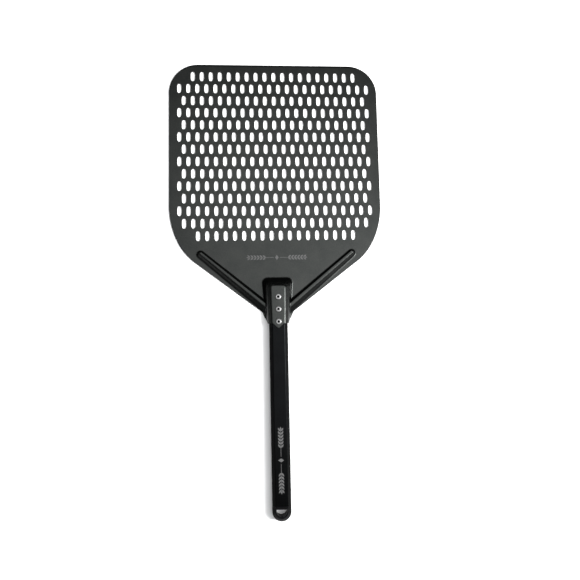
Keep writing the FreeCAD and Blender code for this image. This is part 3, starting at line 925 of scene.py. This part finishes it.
def moulded_plastic(name):
    """Black moulded plastic with a faint spark-eroded texture."""
    nodes = Nodes(name)
    shader = nodes.shader
    shader.inputs["Specular IOR Level"].default_value = 0.06
    cloud = nodes.ramp(nodes.noise(60, 3), 0.3, 0.7, (0.0012, 0.0012, 0.0014), (0.002, 0.002, 0.0023))
    nodes.link(cloud, shader.inputs["Base Color"])
    fine = nodes.noise(3000, 2)
    nodes.link(nodes.value(fine, 0.3, 0.42), shader.inputs["Roughness"])
    nodes.bump(fine, 0.00002, 0.25)
    return nodes.material


def bare_metal(name, dark, light, roughness):
    """Bare aluminium or steel with small stains."""
    nodes = Nodes(name)
    shader = nodes.shader
    shader.inputs["Metallic"].default_value = 1.0
    stain = nodes.noise(900, 4)
    nodes.link(nodes.ramp(stain, 0.35, 0.7, dark, light), shader.inputs["Base Color"])
    fine = nodes.noise(5200, 2)
    nodes.link(nodes.value(fine, roughness - 0.06, roughness + 0.08), shader.inputs["Roughness"])
    nodes.bump(fine, 0.00002, 0.2)
    return nodes.material


def ink(name, dark, light):
    """Screen-printed ink: slightly uneven cover."""
    nodes = Nodes(name)
    shader = nodes.shader
    cover = nodes.noise(700, 4)
    nodes.link(nodes.ramp(cover, 0.35, 0.65, dark, light), shader.inputs["Base Color"])
    nodes.link(nodes.value(nodes.noise(2500, 2), 0.45, 0.6), shader.inputs["Roughness"])
    return nodes.material


def pale_floor():
    """Matt white paper."""
    nodes = Nodes("floor_paper")
    cloud = nodes.ramp(nodes.noise(3, 2), 0.3, 0.7, grey(0.72), grey(0.75))
    nodes.link(cloud, nodes.shader.inputs["Base Color"])
    nodes.link(nodes.value(nodes.noise(40, 2), 0.85, 0.95), nodes.shader.inputs["Roughness"])
    return nodes.material


# --- stage ----------------------------------------------------------------------------------------


def add_floor():
    """A wide sheet of paper, just below the face that the peel rests on."""
    reach = 6.0
    corners = [(-reach, -reach, 0), (reach, -reach, 0), (reach, reach, 0), (-reach, reach, 0)]
    mesh = bpy.data.meshes.new("floor")
    mesh.from_pydata(corners, [], [(0, 1, 2, 3)])
    mesh.materials.append(pale_floor())
    floor = bpy.data.objects.new("floor", mesh)
    bpy.context.scene.collection.objects.link(floor)
    floor.location.z = -0.0002


def add_area_light(name, place, target, size, power):
    light = bpy.data.lights.new(name, "AREA")
    light.shape = "RECTANGLE"
    light.size, light.size_y = size
    light.energy = power
    lamp = bpy.data.objects.new(name, light)
    lamp.location = place
    lamp.rotation_euler = (Vector(target) - Vector(place)).to_track_quat("-Z", "Y").to_euler()
    bpy.context.scene.collection.objects.link(lamp)


def add_lights():
    """A broad overhead softbox, a harder strip from the right and a dim room."""
    add_area_light("overhead_softbox", place=(0.12, 0.2, 1.7), target=(0.12, 0.2, 0),
                   size=(1.3, 1.75), power=26)
    add_area_light("right_strip", place=(1.25, -0.1, 1.25), target=(0, 0.05, 0),
                   size=(0.2, 1.2), power=85)
    add_room()


def add_room():
    """A pale backdrop to look at. The peel reflects a dimmer room, darkest near the horizon."""
    world = bpy.data.worlds.new("room")
    world.use_nodes = True
    tree = world.node_tree
    background = tree.nodes["Background"]
    direction = tree.nodes.new("ShaderNodeTexCoord")
    parts = tree.nodes.new("ShaderNodeSeparateXYZ")
    ramp = tree.nodes.new("ShaderNodeValToRGB")
    path = tree.nodes.new("ShaderNodeLightPath")
    choice = tree.nodes.new("ShaderNodeMix")
    choice.data_type = "RGBA"
    ramp.color_ramp.elements[0].position = 0.1
    ramp.color_ramp.elements[0].color = (0.02, 0.02, 0.021, 1)
    ramp.color_ramp.elements[1].position = 0.75
    ramp.color_ramp.elements[1].color = (0.3, 0.31, 0.32, 1)
    choice.inputs["B"].default_value = (0.9, 0.9, 0.9, 1)
    tree.links.new(direction.outputs["Generated"], parts.inputs[0])
    tree.links.new(parts.outputs["Z"], ramp.inputs["Fac"])
    tree.links.new(path.outputs["Is Camera Ray"], choice.inputs["Factor"])
    tree.links.new(ramp.outputs["Color"], choice.inputs["A"])
    tree.links.new(choice.outputs["Result"], background.inputs["Color"])
    bpy.context.scene.world = world


def add_camera():
    """Nearly overhead, a little to the left, 0.78 m above the floor."""
    right = Vector((0.9979, -0.0207, 0.0608)).normalized()
    upward = Vector((0.0154, 0.996, 0.0878))
    away = right.cross(upward).normalized()
    upward = away.cross(right)
    camera = bpy.data.cameras.new("camera")
    camera.sensor_width = 36
    camera.lens = 31.37
    camera.shift_y = -0.0006
    eye = bpy.data.objects.new("camera", camera)
    turn = Matrix((right, upward, away)).transposed().to_4x4()
    eye.matrix_world = Matrix.Translation((-0.0293, -0.0781, 0.7758)) @ turn
    bpy.context.scene.collection.objects.link(eye)
    bpy.context.scene.camera = eye


# --- everything -----------------------------------------------------------------------------------


def paint_node(name, material):
    """Gives its material to a CAD node that shows as it is."""
    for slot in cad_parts[name].material_slots:
        slot.material = material


bpy.context.scene.view_settings.view_transform = "Standard"
add_camera()
add_floor()
add_lights()

HEAD_BLACK = anodised("head_black", dark=(0.0172, 0.0184, 0.0179), light=(0.0222, 0.0232, 0.0222),
                      roughness=0.34, grain=0.5)
HANDLE_BLACK = anodised("handle_black", dark=(0.0027, 0.0028, 0.003), light=(0.0034, 0.0037, 0.0039),
                        roughness=0.32, grain=0.3)
PLASTIC = moulded_plastic("black_plastic")
RIVET_METAL = bare_metal("rivet_metal", grey(0.13), grey(0.2), 0.48)
MANDREL_METAL = bare_metal("mandrel_metal", grey(0.05), grey(0.1), 0.4)
HANDLE_INK = ink("handle_ink", grey(0.035), grey(0.055))
HEAD_INK = ink("head_ink", grey(0.018), grey(0.027))

build_head(HEAD_BLACK)
build_tube(HANDLE_BLACK)
build_cap(PLASTIC)
for rivet_place in RIVET_PLACES:
    build_rivet(rivet_place, RIVET_METAL)
    paint_node(f"rivet_mandrel_{rivet_place}", MANDREL_METAL)
paint_node("front_plug", PLASTIC)
build_print("handle_print", HANDLE_PRINT, -math.pi / 2, TUBE_TOP, HANDLE_INK)
build_print("head_print", HEAD_PRINT, 0, SHEET, HEAD_INK)
